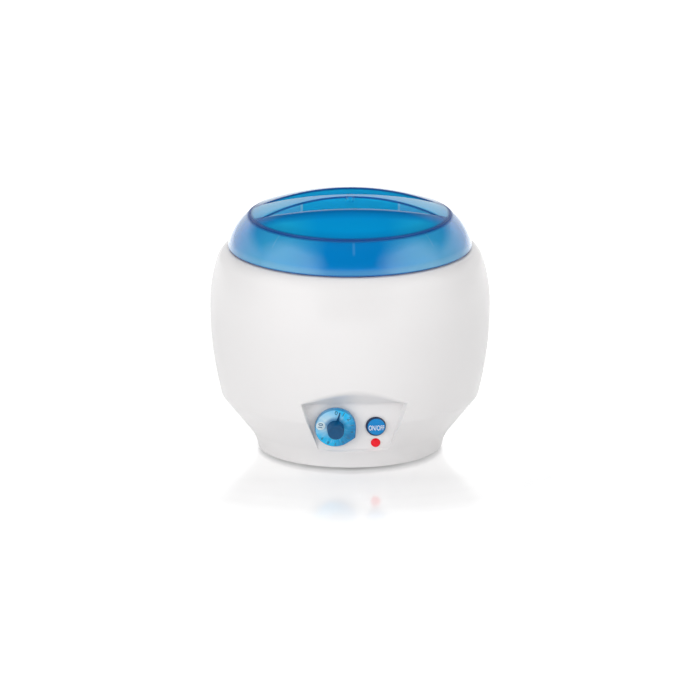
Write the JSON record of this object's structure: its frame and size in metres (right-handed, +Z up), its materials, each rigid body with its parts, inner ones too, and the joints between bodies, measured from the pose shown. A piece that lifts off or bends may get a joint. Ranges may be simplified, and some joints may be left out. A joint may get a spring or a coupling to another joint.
{
  "type": "wax warmer",
  "caption": "Barrel wax warmer with a lift-out bowl, a translucent blue domed lid with finger pockets, and a hooded recess with a dial, a push button and an indicator lamp",
  "frame": {"origin": "on the table under the middle of the housing, at the level of the rubber feet", "axes": "+Z up along the axis of the housing, the bowl and the lid; the control recess faces -Y; +X is to the right as seen from the front"},
  "size_m": [0.207, 0.207, 0.1922],
  "materials": {
    "housing_white": "gloss",
    "plate_white": "satin",
    "foot_rubber": "matte",
    "screw_steel": "satin",
    "well_aluminium": "satin",
    "seal_silicone": "matte",
    "bowl_aluminium": "satin",
    "lid_blue": "translucent gloss",
    "heater_mica": "satin",
    "wrap_felt": "fibre felt",
    "tag_brass": "satin",
    "thermostat_phenolic": "matte",
    "dial_blue": "translucent gloss",
    "hub_navy": "gloss",
    "sensor_copper": "satin copper",
    "block_nylon": "satin",
    "button_blue": "gloss",
    "spring_steel": "satin",
    "lens_red": "translucent gloss",
    "lamp_glass": "clear",
    "gland_black": "matte",
    "lead_brown": "satin",
    "lead_black": "satin",
    "lead_red": "satin",
    "lead_blue": "satin",
    "lead_green": "satin"
  },
  "bodies": {
    "base": {"outer_housing": "housing_white", "base_plate": "plate_white", "rubber_feet": "foot_rubber", "base_screws": "screw_steel", "heating_well": "well_aluminium", "well_seal": "seal_silicone", "band_heater": "heater_mica", "heater_clamp_screw": "screw_steel", "insulation_wrap": "wrap_felt", "heat_shield": "well_aluminium", "shield_screws": "screw_steel", "well_spacer": "well_aluminium", "earth_tag": "tag_brass", "well_nut": "screw_steel", "thermostat_body": "thermostat_phenolic", "thermostat_screws": "screw_steel", "sensor_bulb": "sensor_copper", "capillary_tube": "sensor_copper", "sensor_clip": "screw_steel", "thermal_fuse": "screw_steel", "fuse_clip": "screw_steel", "switch_body": "block_nylon", "switch_screws": "screw_steel", "button_spring": "spring_steel", "lamp_lens": "lens_red", "lamp_holder": "block_nylon", "neon_lamp": "lamp_glass", "terminal_block": "block_nylon", "terminal_screws": "tag_brass", "cord_gland": "gland_black", "lead_live": "lead_brown", "lead_link": "lead_black", "lead_feed": "lead_red", "lead_heater": "lead_red", "lead_neutral": "lead_blue", "lead_earth": "lead_green", "lamp_leads": "lead_black"},
    "bowl": {"wax_bowl": "bowl_aluminium"},
    "lid": {"lid": "lid_blue"},
    "dial": {"dial": "dial_blue", "dial_hub": "hub_navy", "thermostat_shaft": "screw_steel"},
    "button": {"button_cap": "button_blue", "button_plunger": "block_nylon"}
  },
  "joints": [
    {"name": "bowl_lift", "type": "slide", "parent": "base", "child": "bowl", "axis": [0, 0, 1], "range_m": [0, 0.11]},
    {"name": "lid_lift", "type": "slide", "parent": "bowl", "child": "lid", "axis": [0, 0, 1], "range_m": [0, 0.1]},
    {"name": "dial_turn", "type": "hinge", "parent": "base", "child": "dial", "pos_m": [-0.0135, -0.0746, 0.0371], "axis": [0, -0.9848, -0.1736], "range_deg": [0, 280]},
    {"name": "button_press", "type": "slide", "parent": "base", "child": "button", "axis": [0, 0.9848, 0.1736], "range_m": [0, 0.0025], "stiffness_N_per_m": 400, "springref_m": -0.002, "deforming": ["button_spring"]}
  ]
}
